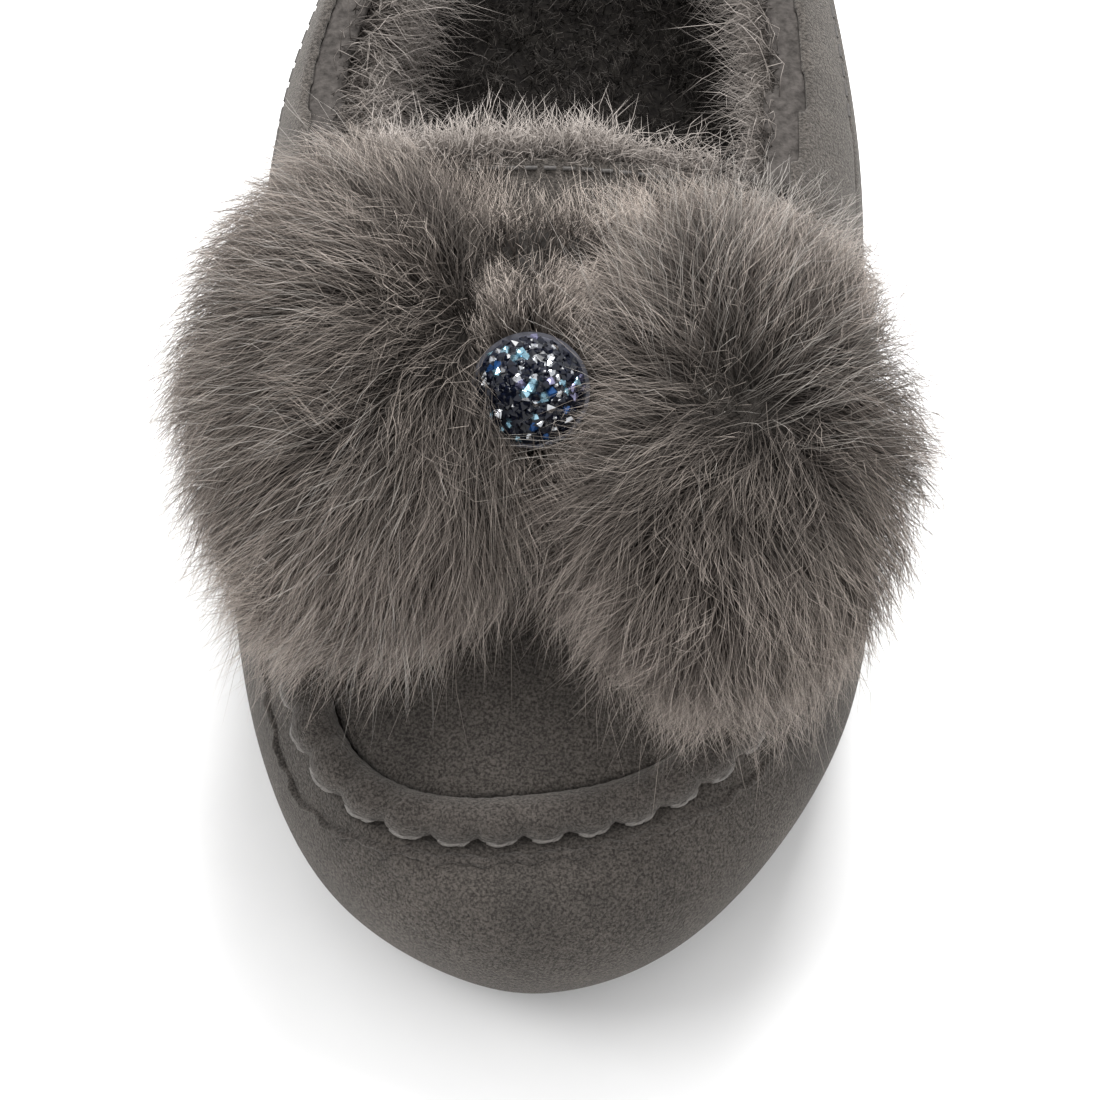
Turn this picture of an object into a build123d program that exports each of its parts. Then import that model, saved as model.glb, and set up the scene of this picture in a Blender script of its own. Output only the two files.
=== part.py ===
"""A left moccasin slipper with a fur bow: suede upper, pile lining, rubber sole, and a crystal brooch.

Millimetres. +Z is up, the toe points to -Y and the big toe is on -X. The origin is on the ground, under the
middle of the slipper's length. "t" below is the distance behind the tip of the toe.
"""

from build123d import *

import os
from math import asin, atan2, cos, degrees, hypot, radians, sin, sqrt

# ---- Driving dimensions ---------------------------------------------------------------------------------
LENGTH = 266.0  # toe tip to heel tip of the upper
TOE_Y = -LENGTH / 2
SUEDE = 2.0  # the upper's suede
PILE = 6.0  # the lining, pressed
OUTSOLE_TOP = 6.0
BOARD_TOP = 8.0
FOAM_TOP = 13.0
FOOTBED_TOP = 18.0
THROAT_T = 122.0  # the vamp's top edge
SIDE_SEAM = (124.0, 116.0)  # t of the seam between toe wrap and quarters, at the sole and at the collar
COLLAR_START_T = 109.0  # the collar band's ends, under the fur bow
HEEL_X = 8.0  # the heel's centre line
COLLAR_LEVEL = 5  # the level of the seam between quarter and collar band
RAISE = 3.0  # the apron's rolled seam stands this far above the vamp
ROLL_HALF = 3.7  # half the width of the rolled seam
ROLL_OVERHANG = 2.5  # how far the roll may stand out past the wall
SEAM_BED = 1.0  # the toe wrap's edge runs on under the roll, this far down in the suede
REACH = 200.0  # longer than anything it cuts

# The upper's widest outline, anticlockwise from the toe: x, t, and how far the upper leans in from that
# outline at the collar seam and at the topline.
OUTLINE = [
    (0.8, 0.0, 21.0, 25.0),
    (19.8, 7.2, 22.0, 26.0),
    (37.3, 25.6, 21.0, 26.0),
    (48.0, 46.0, 17.0, 24.0),
    (53.5, 80.0, 10.0, 19.0),
    (54.0, 120.0, 3.5, 16.5),
    (52.6, 150.0, 2.5, 16.5),
    (50.0, 172.0, 2.5, 16.0),
    (46.0, 200.0, 2.5, 13.0),
    (40.0, 228.0, 2.5, 10.5),
    (29.5, 251.0, 2.5, 9.0),
    (8.0, 266.0, 2.5, 8.0),
    (-14.5, 254.0, 2.5, 8.5),
    (-26.0, 232.0, 2.0, 8.5),
    (-31.5, 205.0, 1.5, 8.5),
    (-37.5, 177.0, 1.0, 8.5),
    (-45.0, 153.0, 1.5, 9.0),
    (-51.5, 122.0, 5.0, 14.0),
    (-53.0, 86.0, 10.0, 19.0),
    (-50.5, 58.0, 12.0, 21.0),
    (-44.8, 34.7, 13.0, 21.0),
    (-34.9, 16.4, 15.0, 21.0),
    (-18.0, 3.8, 18.0, 23.0),
]

# Levels of the upper, bottom to top: height at the throat, rise from there to the heel, how far the wall is
# tucked under, and the shares of the two leans.
LEVELS = [
    (OUTSOLE_TOP, 0.0, 6.5, 0.0, 0.0),
    (9.0, 0.0, 3.6, 0.0, 0.0),
    (14.0, 0.0, 1.2, 0.0, 0.0),
    (22.0, 0.5, 0.0, 0.0, 0.0),
    (36.0, 1.5, 0.0, 0.40, 0.0),
    (50.0, 3.0, 0.0, 1.0, 0.0),
    (57.0, 4.0, 0.0, 0.65, 0.35),
    (62.0, 5.0, 0.0, 0.0, 1.0),
    (82.0, 5.0, 0.0, 0.0, 1.2),
]

# The topline from the throat round to the heel: t, z.
TOPLINE = [(THROAT_T, 61.5), (155.0, 59.5), (203.0, 61.5), (248.0, 65.5), (290.0, 68.5)]

# The vamp's top surface, front to back: t, height along its middle, height at VAMP_HALF to each side.
VAMP = [
    (-1.0, 32.5, 31.0),
    (15.0, 35.5, 34.5),
    (45.0, 44.5, 41.0),
    (80.0, 57.0, 51.0),
    (105.0, 66.5, 60.3),
    (THROAT_T, 72.0, 65.2),
    (135.0, 75.0, 68.0),
]
VAMP_HALF = 33.0
VAMP_SPAN = 64.0  # the surface is drawn this far to each side
VAMP_MID_X = -3.0

# The line of the apron's rolled seam, from the throat's medial end round the toe to its lateral end: x, t.
APRON_SEAM = [
    (-35.0, 126.0),
    (-38.5, 97.0),
    (-40.5, 67.0),
    (-38.5, 43.0),
    (-33.0, 28.5),
    (-20.0, 20.8),
    (-4.0, 20.3),
    (10.0, 22.5),
    (23.0, 29.0),
    (34.0, 43.0),
    (39.0, 67.0),
    (38.5, 97.0),
    (34.0, 126.0),
]

# Outsole
OUTSOLE_INSETS = (8.0, 6.6)  # in from the widest outline, at the ground and at the top
TREAD_DEPTH = 1.6
TREAD_WIDTH = 2.6
TREAD_COUNT = 20
TREAD_RUN = 60.0  # half the width that each chevron spans
TREAD_ANGLE = 16.0
TREAD_MARGIN = 5.0
TREAD_ENDS = 18.0  # plain sole before the first and after the last chevron

# Stitching
APRON_PITCH = 7.0
APRON_STITCH_OUT = 1.5  # the stitches' row, outwards from the roll's middle
APRON_STITCH_SLANT = 60.0
THREAD = 0.7
STITCH_SHARE = 0.65  # how much of its pitch a stitch takes up
STITCH_LIFT = 0.03  # clear of the suede
STITCH_REACH = 30.0  # how far out the collar's stitches are aimed from
THROAT_PITCH = 3.0
THROAT_STITCHES = 17
THROAT_MARGIN = 2.6
COLLAR_PITCH = 4.0
COLLAR_MARGIN = 1.6  # the stitches run this far above the collar seam
COLLAR_RUN = (0.25, 0.80)  # the collar's stitches, as shares of the way round from the toe

# Heel
COUNTER = 1.2
COUNTER_T = 210.0  # its front edge at the top
COUNTER_LEAN = 8.0  # the front edge's foot is this much further back
COUNTER_TOP = 44.0
STRIP_HALF = 8.5
STRIP = 1.3
STRIP_BOTTOM = 8.0
STRIP_TOP = 50.0
STRIP_REACH = 30.0

# Fur bow
BOW_T = 82.0  # the brooch's place on the vamp
BOW_X = -3.0
SLOPE_RUN = 10.0  # the vamp's slope under the bow is taken this far before and behind it
LOBES = {
    "bow_left": ((-28.5, 81.5, 66.0), (29.5, 45.0, 22.0)),
    "bow_right": ((28.5, 72.5, 64.0), (29.5, 44.0, 22.0)),
}
BOW_SPLIT_X = -0.5
KNOT = (17.0, 30.0, 11.5)  # across, along, and how far it stands on the backing
STRIP_SIZE = (32.0, 44.0, 2.6)  # the folded fur fabric's cloth: across, along, thick
BACKING = (27.0, 26.0)  # half sizes of the oval patch under the bow
KNOT_EDGE = 3.0
STRIP_EDGE = 1.15  # rounding of the cloth's folded edges
STRIP_TUCK = 1.0  # how far the cloth runs in under the knot
TACKS = [(-14.0, -12.0), (14.0, -12.0), (-14.0, 12.0), (14.0, 12.0)]
GAP = 0.3
FUR_GAP = 1.2  # between the fur and the stitched seam

# Brooch
DOME_RADIUS = 8.6
DOME_HEIGHT = 5.2
CUP_WALL = 0.6
CUP_HEIGHT = 2.4
CRYSTAL_COUNT = 90
CRYSTAL_RADIUS = 0.78
CRYSTAL_GIRDLE = 0.7
CRYSTAL_POINT = 1.0
CRYSTAL_FLAT = 0.12  # what is left of its radius at the tip
CRYSTAL_MARGIN = 1.25  # the outer crystals' middles keep this far inside the cup
POST_RADIUS = 1.3
WASHER_RADIUS = 5.0
WASHER = 0.9
GOLDEN_ANGLE = 137.508


def inward_normals():
    """Unit vectors pointing into the outline at each of its points."""
    found = []
    for i in range(len(OUTLINE)):
        before, after = OUTLINE[i - 1], OUTLINE[(i + 1) % len(OUTLINE)]
        along_x, along_y = after[0] - before[0], after[1] - before[1]
        size = hypot(along_x, along_y)
        found.append((-along_y / size, along_x / size))
    return found


NORMALS = inward_normals()
THROAT_PLANE = Plane(origin=(0, TOE_Y + THROAT_T, 0), z_dir=(0, 1, 0))


def inset_points(insets):
    """The outline's points, each moved in by its own amount."""
    points = []
    for (x, t, _, _), (nx, ny), inset in zip(OUTLINE, NORMALS, insets):
        points.append((x + nx * inset, TOE_Y + t + ny * inset))
    return points


def ring(level, extra):
    """The points of one level's outline, moved in by extra."""
    _, _, tuck, mid_share, top_share = LEVELS[level]
    return inset_points([tuck + mid_share * mid + top_share * top + extra for _, _, mid, top in OUTLINE])


def level_plane(level):
    """The plane of one level, which tilts up towards the heel."""
    height, rise = LEVELS[level][:2]
    slope = rise / (LENGTH - THROAT_T)
    at_origin = height - slope * (TOE_Y + THROAT_T)
    return Plane(origin=(0, 0, at_origin), x_dir=(1, 0, 0), z_dir=(0, -slope, 1))


def last(extra, levels=range(len(LEVELS))):
    """The upper as if it were solid to its topline, moved in by extra."""
    with BuildPart() as body:
        for level in levels:
            with BuildSketch(level_plane(level)):
                with BuildLine():
                    Spline(*ring(level, extra), periodic=True)
                make_face()
        loft()
    return body.part


def vamp_height(t):
    """Heights of the vamp along its middle and at its sides, t behind the toe."""
    for (t0, mid0, side0), (t1, mid1, side1) in zip(VAMP, VAMP[1:]):
        if t <= t1:
            share = (t - t0) / (t1 - t0)
            return mid0 + share * (mid1 - mid0), side0 + share * (side1 - side0)
    return VAMP[-1][1:]


def vamp_top(x, t):
    """Height of the vamp's surface at a place on it."""
    mid, side = vamp_height(t)
    return mid - (mid - side) * ((x - VAMP_MID_X) / VAMP_HALF) ** 2


def side_block(points):
    """A block with this outline seen from the side, t and z, as wide as REACH each way."""
    with BuildPart() as body:
        with BuildSketch(Plane.YZ):
            with BuildLine():
                Polyline(*[(TOE_Y + t, z) for t, z in points], close=True)
            make_face()
        extrude(amount=REACH, both=True)
    return body.part


def slab(bottom, top):
    """All of the space between two heights."""
    return side_block([(-REACH, bottom), (2 * REACH, bottom), (2 * REACH, top), (-REACH, top)])


def roof(drop):
    """Everything under the vamp's top surface, lowered by drop, and under the topline behind the throat."""
    with BuildPart() as body:
        for t, mid, side in VAMP:
            fall = (mid - side) * (VAMP_SPAN / VAMP_HALF) ** 2
            with BuildSketch(Plane(origin=(VAMP_MID_X, TOE_Y + t, 0), x_dir=(1, 0, 0), z_dir=(0, -1, 0))):
                with BuildLine():
                    crown = Bezier(
                        (-VAMP_SPAN, mid - fall - drop),
                        (0, mid + fall - drop),
                        (VAMP_SPAN, mid - fall - drop),
                    )
                    Polyline(crown @ 1, (VAMP_SPAN, -REACH), (-VAMP_SPAN, -REACH), crown @ 0)
                make_face()
        loft()
        split(bisect_by=THROAT_PLANE, keep=Keep.BOTTOM)
        with BuildSketch(Plane.YZ):
            with BuildLine():
                edge = Spline(*[(TOE_Y + t, z) for t, z in TOPLINE])
                Polyline(edge @ 1, (edge @ 1 - Vector(0, REACH)), (edge @ 0 - Vector(0, REACH)), edge @ 0)
            make_face()
        extrude(amount=REACH, both=True)
    return body.part


def seam_points(side):
    """The apron seam's points, moved outwards by side."""
    points = []
    for i, (x, t) in enumerate(APRON_SEAM):
        x0, t0 = APRON_SEAM[max(i - 1, 0)]
        x1, t1 = APRON_SEAM[min(i + 1, len(APRON_SEAM) - 1)]
        size = hypot(x1 - x0, t1 - t0)
        points.append((x + side * (t1 - t0) / size, TOE_Y + t - side * (x1 - x0) / size))
    return points


def apron_column(side):
    """A column over the apron's area, grown outwards by side past the seam's line, up to the throat."""
    with BuildPart() as body:
        with BuildSketch(Plane.XY):
            with BuildLine():
                line = Spline(*seam_points(side))
                Line(line @ 1, line @ 0)
            make_face()
        extrude(amount=REACH)
        split(bisect_by=THROAT_PLANE, keep=Keep.BOTTOM)
    return body.part


def post_column(radius, x, t):
    """A tall upright round column at a place on the vamp."""
    with BuildPart() as body:
        with Locations((x, TOE_Y + t, 0)):
            Cylinder(radius, REACH, align=(Align.CENTER, Align.CENTER, Align.MIN))
    return body.part


# ---- Shapes that several pieces share -------------------------------------------------------------------
last_outside = last(0.0)
outside = last_outside & roof(0.0)
inside = last(SUEDE) & roof(SUEDE)
hollow = last(SUEDE + PILE) & roof(SUEDE + PILE)
skin = outside - inside
lining = (inside - hollow) & slab(BOARD_TOP, REACH)
apron_inner = apron_column(-ROLL_HALF)
apron_outer = apron_column(ROLL_HALF)
seam_bed = (apron_outer - apron_inner) - roof(SEAM_BED)
raised_roof = roof(-RAISE)

collar_low, collar_rise = LEVELS[COLLAR_LEVEL][:2]
collar_slope = collar_rise / (LENGTH - THROAT_T)
front_block = side_block([
    (-REACH, 0), (SIDE_SEAM[0], 0), (SIDE_SEAM[1], collar_low), (THROAT_T, collar_low), (THROAT_T, REACH),
    (-REACH, REACH)])
collar_zone = side_block([
    (COLLAR_START_T, collar_low + collar_slope * (COLLAR_START_T - THROAT_T)),
    (2 * REACH, collar_low + collar_slope * (2 * REACH - THROAT_T)),
    (2 * REACH, REACH),
    (COLLAR_START_T, REACH),
]) - apron_outer

# The brooch's seat lies parallel to the vamp under it.
vamp_rise = vamp_height(BOW_T + SLOPE_RUN)[0] - vamp_height(BOW_T - SLOPE_RUN)[0]
vamp_tilt = atan2(vamp_rise, 2 * SLOPE_RUN)
vamp_plane = Plane(
    origin=(BOW_X, TOE_Y + BOW_T, vamp_top(BOW_X, BOW_T)),
    x_dir=(1, 0, 0),
    z_dir=(0, -sin(vamp_tilt), cos(vamp_tilt)),
)
brooch_plane = vamp_plane.offset(RAISE + KNOT[2])
post_at = (brooch_plane.origin.X, brooch_plane.origin.Y - TOE_Y)
post_hole = post_column(POST_RADIUS, *post_at)

os.makedirs("parts", exist_ok=True)

# ---- Sole -----------------------------------------------------------------------------------------------
with BuildPart() as outsole:
    for height, inset in zip((0.0, OUTSOLE_TOP), OUTSOLE_INSETS):
        with BuildSketch(Plane.XY.offset(height)):
            with BuildLine():
                Spline(*inset_points([inset] * len(OUTLINE)), periodic=True)
            make_face()
    loft()
    with BuildSketch(Plane.XY):
        for i in range(TREAD_COUNT):
            along = TOE_Y + TREAD_ENDS + (i + 0.5) * (LENGTH - 2 * TREAD_ENDS) / TREAD_COUNT
            for side in (-1, 1):
                with Locations(Location((side * TREAD_RUN / 2, along), side * TREAD_ANGLE)):
                    Rectangle(TREAD_RUN / cos(radians(TREAD_ANGLE)) + TREAD_WIDTH / 2, TREAD_WIDTH)
        with BuildSketch(Plane.XY, mode=Mode.PRIVATE) as tread_area:
            with BuildLine():
                Spline(*inset_points([OUTSOLE_INSETS[0] + TREAD_MARGIN] * len(OUTLINE)), periodic=True)
            make_face()
        add(tread_area.sketch, mode=Mode.INTERSECT)
    extrude(amount=TREAD_DEPTH, mode=Mode.SUBTRACT)
outsole.part.label = "outsole"
export_step(outsole.part, "parts/outsole.step")

with BuildPart() as insole_board:
    add(inside)
    add(slab(OUTSOLE_TOP, BOARD_TOP), mode=Mode.INTERSECT)
insole_board.part.label = "insole_board"
export_step(insole_board.part, "parts/insole_board.step")

with BuildPart() as cushion_foam:
    add(hollow)
    add(slab(BOARD_TOP, FOAM_TOP), mode=Mode.INTERSECT)
cushion_foam.part.label = "cushion_foam"
export_step(cushion_foam.part, "parts/cushion_foam.step")

with BuildPart() as footbed_pile:
    add(hollow)
    add(slab(FOAM_TOP, FOOTBED_TOP), mode=Mode.INTERSECT)
footbed_pile.part.label = "footbed_pile"
export_step(footbed_pile.part, "parts/footbed_pile.step")

# ---- Upper ----------------------------------------------------------------------------------------------
tacks = []
for tack_x, tack_t in TACKS:
    tacks.append(post_column(THREAD, BOW_X + tack_x, BOW_T + tack_t))

with BuildPart() as toe_wrap:
    add(skin)
    add(front_block, mode=Mode.INTERSECT)
    add(seam_bed, mode=Mode.SUBTRACT)
    add(apron_inner, mode=Mode.SUBTRACT)
    add(collar_zone, mode=Mode.SUBTRACT)
toe_wrap.part.label = "toe_wrap"
export_step(toe_wrap.part, "parts/toe_wrap.step")

with BuildPart() as apron:
    add(skin)
    add(apron_inner, mode=Mode.INTERSECT)
    add(post_hole, mode=Mode.SUBTRACT)
    add(tacks, mode=Mode.SUBTRACT)
apron.part.label = "apron"
export_step(apron.part, "parts/apron.step")

with BuildPart() as apron_roll:
    add(last(-ROLL_OVERHANG))
    add(raised_roof, mode=Mode.INTERSECT)
    add(seam_bed, mode=Mode.INTERSECT)
    split(bisect_by=THROAT_PLANE.offset(-GAP), keep=Keep.BOTTOM)
    add(apron_roll.solids().sort_by(SortBy.VOLUME)[-1], mode=Mode.REPLACE)
apron_roll.part.label = "apron_roll"
export_step(apron_roll.part, "parts/apron_roll.step")

for name, side in (("quarter_medial", Keep.BOTTOM), ("quarter_lateral", Keep.TOP)):
    with BuildPart() as quarter:
        add(skin)
        add(front_block, mode=Mode.SUBTRACT)
        add(collar_zone, mode=Mode.SUBTRACT)
        split(bisect_by=Plane(origin=(HEEL_X, 0, 0), z_dir=(1, 0, 0)), keep=side)
    quarter.part.label = name
    export_step(quarter.part, f"parts/{name}.step")

with BuildPart() as collar_band:
    add(skin)
    add(collar_zone, mode=Mode.INTERSECT)
collar_band.part.label = "collar_band"
export_step(collar_band.part, "parts/collar_band.step")

with BuildPart() as heel_strip:
    add(last(-STRIP))
    add(last_outside, mode=Mode.SUBTRACT)
    with Locations((HEEL_X, TOE_Y + LENGTH, STRIP_BOTTOM)):
        Box(2 * STRIP_HALF, STRIP_REACH, STRIP_TOP - STRIP_BOTTOM,
            align=(Align.CENTER, Align.CENTER, Align.MIN), mode=Mode.INTERSECT)
heel_strip.part.label = "heel_strip"
export_step(heel_strip.part, "parts/heel_strip.step")

# ---- Lining and stiffener -------------------------------------------------------------------------------
counter_core = last(SUEDE + COUNTER)
counter_block = side_block([
    (COUNTER_T + COUNTER_LEAN, BOARD_TOP),
    (2 * REACH, BOARD_TOP),
    (2 * REACH, COUNTER_TOP),
    (COUNTER_T, COUNTER_TOP),
])

with BuildPart() as heel_counter:
    add(inside)
    add(counter_block, mode=Mode.INTERSECT)
    add(counter_core, mode=Mode.SUBTRACT)
heel_counter.part.label = "heel_counter"
export_step(heel_counter.part, "parts/heel_counter.step")

with BuildPart() as vamp_lining:
    add(lining)
    split(bisect_by=THROAT_PLANE, keep=Keep.BOTTOM)
    add(post_column(WASHER_RADIUS, *post_at) - roof(SUEDE + WASHER), mode=Mode.SUBTRACT)
vamp_lining.part.label = "vamp_lining"
export_step(vamp_lining.part, "parts/vamp_lining.step")

with BuildPart() as collar_lining:
    add(lining)
    split(bisect_by=THROAT_PLANE, keep=Keep.TOP)
    add(counter_block - counter_core, mode=Mode.SUBTRACT)
collar_lining.part.label = "collar_lining"
export_step(collar_lining.part, "parts/collar_lining.step")

# ---- Stitching ------------------------------------------------------------------------------------------
def stitch_plane(cloth, ray, heading):
    """Where a ray first meets a piece: a plane lying on it there, with its X along the heading."""
    hits = cloth.find_intersection_points(ray)
    if not hits:
        return None
    spot, normal = min(hits, key=lambda hit: (hit[0] - ray.position).length)
    if normal.dot(ray.direction) > 0:
        normal = -normal
    along = heading - normal * heading.dot(normal)
    return Plane(origin=spot + normal * (THREAD / 2 + STITCH_LIFT), x_dir=along, z_dir=normal)


def row_of_stitches(planes, length):
    """One thread per plane, lying along its X."""
    with BuildPart() as row:
        with Locations(*[plane.location for plane in planes if plane]):
            Cylinder(THREAD / 2, length, rotation=(0, 90, 0))
    return row.part


seam_middle = Spline(*seam_points(APRON_STITCH_OUT))
roll_stitches = int(seam_middle.length / APRON_PITCH)
planes = []
for i in range(roll_stitches):
    spot = seam_middle @ ((i + 0.5) / roll_stitches)
    way = seam_middle % ((i + 0.5) / roll_stitches)
    ray = Axis((spot.X, spot.Y, REACH), (0, 0, -1))
    planes.append(stitch_plane(apron_roll.part, ray, way.rotate(Axis.Z, APRON_STITCH_SLANT)))
with BuildPart() as apron_stitches:
    add(row_of_stitches(planes, ROLL_HALF))
apron_stitches.part.label = "apron_stitches"
export_step(apron_stitches.part, "parts/apron_stitches.step")

planes = []
for i in range(THROAT_STITCHES):
    across = VAMP_MID_X + (i - (THROAT_STITCHES - 1) / 2) * THROAT_PITCH
    ray = Axis((across, TOE_Y + THROAT_T - THROAT_MARGIN, REACH), (0, 0, -1))
    planes.append(stitch_plane(apron.part, ray, Vector(1, 0, 0)))
with BuildPart() as throat_stitches:
    add(row_of_stitches(planes, THROAT_PITCH * STITCH_SHARE))
throat_stitches.part.label = "throat_stitches"
export_step(throat_stitches.part, "parts/throat_stitches.step")

collar_seam = Spline(*ring(COLLAR_LEVEL, 0.0), periodic=True)
start, stop = COLLAR_RUN
collar_stitch_count = int(collar_seam.length * (stop - start) / COLLAR_PITCH)
planes = []
for i in range(collar_stitch_count):
    share = start + (stop - start) * (i + 0.5) / collar_stitch_count
    spot, way = collar_seam @ share, collar_seam % share
    height = collar_low + collar_slope * (spot.Y - TOE_Y - THROAT_T) + COLLAR_MARGIN
    outwards = way.rotate(Axis.Z, -90)
    ray = Axis(Vector(spot.X, spot.Y, height) + outwards * STITCH_REACH, -outwards)
    planes.append(stitch_plane(collar_band.part, ray, way))
with BuildPart() as collar_stitches:
    add(row_of_stitches(planes, COLLAR_PITCH * STITCH_SHARE))
collar_stitches.part.label = "collar_stitches"
export_step(collar_stitches.part, "parts/collar_stitches.step")

# ---- Fur bow --------------------------------------------------------------------------------------------
with BuildPart() as bow_backing:
    with BuildSketch(Plane.XY):
        with Locations((BOW_X, TOE_Y + BOW_T)):
            Ellipse(*BACKING)
    extrude(amount=REACH)
    add(raised_roof, mode=Mode.INTERSECT)
    add(roof(0.0), mode=Mode.SUBTRACT)
    add(post_hole, mode=Mode.SUBTRACT)
    add(tacks, mode=Mode.SUBTRACT)
bow_backing.part.label = "bow_backing"
export_step(bow_backing.part, "parts/bow_backing.step")

with BuildPart() as bow_stitches:
    add(tacks)
    add(raised_roof, mode=Mode.INTERSECT)
    add(roof(SUEDE), mode=Mode.SUBTRACT)
bow_stitches.part.label = "bow_stitches"
export_step(bow_stitches.part, "parts/bow_stitches.step")

with BuildPart() as knot_block:
    with BuildSketch(brooch_plane):
        Ellipse(KNOT[0] / 2, KNOT[1] / 2)
    extrude(amount=-2 * KNOT[2])
    fillet(knot_block.edges().group_by(SortBy.LENGTH)[-1].sort_by(Axis.Z)[-1:], radius=KNOT_EDGE)

with BuildPart() as bow_knot:
    add(knot_block.part)
    add(raised_roof, mode=Mode.SUBTRACT)
    add(post_hole, mode=Mode.SUBTRACT)
bow_knot.part.label = "bow_knot"
export_step(bow_knot.part, "parts/bow_knot.step")

strip_rise = RAISE + KNOT[2] / 2
bow_bed = roof(-RAISE - FUR_GAP)
for name, ((x, t, z), radii) in LOBES.items():
    side = -1 if x < BOW_X else 1
    strip_plane = Plane(
        origin=(BOW_X + side * (KNOT[0] / 2 - STRIP_TUCK), TOE_Y + BOW_T, vamp_plane.origin.Z + strip_rise),
        x_dir=vamp_plane.x_dir,
        z_dir=vamp_plane.z_dir,
    )
    with BuildPart() as strip:
        with Locations(strip_plane.location * Pos(side * STRIP_SIZE[0] / 2, 0, 0)):
            Box(*STRIP_SIZE)
        long_edges = strip.edges().filter_by(Axis(strip_plane.origin, strip_plane.y_dir))
        fillet(long_edges, radius=STRIP_EDGE)
        add(knot_block.part, mode=Mode.SUBTRACT)
    strip.part.label = f"{name}_strip"
    export_step(strip.part, f"parts/{name}_strip.step")

    ball = Pos(x, TOE_Y + t, z) * scale(Sphere(1.0), by=radii)
    lobe_side = Plane(origin=(BOW_SPLIT_X + side * GAP / 2, 0, 0), z_dir=(side, 0, 0))
    with BuildPart() as lobe:
        add(ball)
        split(bisect_by=lobe_side, keep=Keep.TOP)
        add(bow_bed, mode=Mode.SUBTRACT)
        add(knot_block.part, mode=Mode.SUBTRACT)
        add(strip.part, mode=Mode.SUBTRACT)
        with BuildSketch(brooch_plane):
            Circle(DOME_RADIUS + CUP_WALL + GAP)
        extrude(amount=REACH, mode=Mode.SUBTRACT)
    lobe.part.label = f"{name}_fur"
    export_step(lobe.part, f"parts/{name}_fur.step")

# ---- Brooch ---------------------------------------------------------------------------------------------
with BuildPart() as brooch_cup:
    with BuildSketch(brooch_plane):
        Circle(DOME_RADIUS + CUP_WALL)
    extrude(amount=CUP_HEIGHT)
    with BuildSketch(brooch_plane.offset(CUP_WALL)):
        Circle(DOME_RADIUS)
    extrude(amount=CUP_HEIGHT, mode=Mode.SUBTRACT)
brooch_cup.part.label = "brooch_cup"
export_step(brooch_cup.part, "parts/brooch_cup.step")

cap_radius = (DOME_RADIUS**2 + DOME_HEIGHT**2) / (2 * DOME_HEIGHT)
cap_centre = CUP_HEIGHT + DOME_HEIGHT - cap_radius
cap_angle = atan2(DOME_RADIUS - CRYSTAL_MARGIN, CUP_HEIGHT - cap_centre)
crystal_places = []
for i in range(CRYSTAL_COUNT):
    tilt = degrees(2 * asin(sqrt((i + 0.5) / CRYSTAL_COUNT) * sin(cap_angle / 2)))
    turn = i * GOLDEN_ANGLE
    lean = brooch_plane.location * Pos(0, 0, cap_centre) * Rot(0, 0, turn) * Rot(0, tilt, 0)
    crystal_places.append(lean * Pos(0, 0, cap_radius - CRYSTAL_GIRDLE / 2))

with BuildPart() as crystal:
    with BuildSketch():
        RegularPolygon(CRYSTAL_RADIUS, 6)
    extrude(amount=CRYSTAL_GIRDLE)
    with BuildSketch(Plane.XY.offset(CRYSTAL_GIRDLE)):
        RegularPolygon(CRYSTAL_RADIUS, 6)
    with BuildSketch(Plane.XY.offset(CRYSTAL_GIRDLE + CRYSTAL_POINT)):
        RegularPolygon(CRYSTAL_FLAT, 6)
    loft()

with BuildPart() as brooch_crystals:
    with Locations(*crystal_places):
        add(crystal.part)
brooch_crystals.part.label = "brooch_crystals"
export_step(brooch_crystals.part, "parts/brooch_crystals.step")

half_cap = atan2(DOME_RADIUS, CUP_HEIGHT - cap_centre) / 2
with BuildPart() as brooch_putty:
    with BuildSketch(Plane(brooch_plane.origin, x_dir=brooch_plane.x_dir, z_dir=-brooch_plane.y_dir)):
        with BuildLine():
            Polyline(
                (0, CUP_HEIGHT + DOME_HEIGHT),
                (0, CUP_WALL),
                (DOME_RADIUS, CUP_WALL),
                (DOME_RADIUS, CUP_HEIGHT),
            )
            ThreePointArc(
                (DOME_RADIUS, CUP_HEIGHT),
                (cap_radius * sin(half_cap), cap_centre + cap_radius * cos(half_cap)),
                (0, CUP_HEIGHT + DOME_HEIGHT),
            )
        make_face()
    revolve(axis=Axis(brooch_plane.origin, brooch_plane.z_dir))
    add(brooch_crystals.part, mode=Mode.SUBTRACT)
brooch_putty.part.label = "brooch_putty"
export_step(brooch_putty.part, "parts/brooch_putty.step")

with BuildPart() as brooch_post:
    add(post_hole)
    split(bisect_by=brooch_plane, keep=Keep.BOTTOM)
    add(roof(SUEDE + WASHER), mode=Mode.SUBTRACT)
brooch_post.part.label = "brooch_post"
export_step(brooch_post.part, "parts/brooch_post.step")

with BuildPart() as brooch_washer:
    add(post_column(WASHER_RADIUS, *post_at))
    add(roof(SUEDE), mode=Mode.INTERSECT)
    add(roof(SUEDE + WASHER), mode=Mode.SUBTRACT)
    add(post_hole, mode=Mode.SUBTRACT)
brooch_washer.part.label = "brooch_washer"
export_step(brooch_washer.part, "parts/brooch_washer.step")
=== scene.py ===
"""The looks of the fur-bow slipper, built round its CAD frame.

Lengths are in millimetres and become metres by MM. The toe points to -Y and the sole stands on Z = 0.
"""

import math

import bpy
import numpy as np
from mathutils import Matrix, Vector, kdtree
from mathutils.bvhtree import BVHTree


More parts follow.
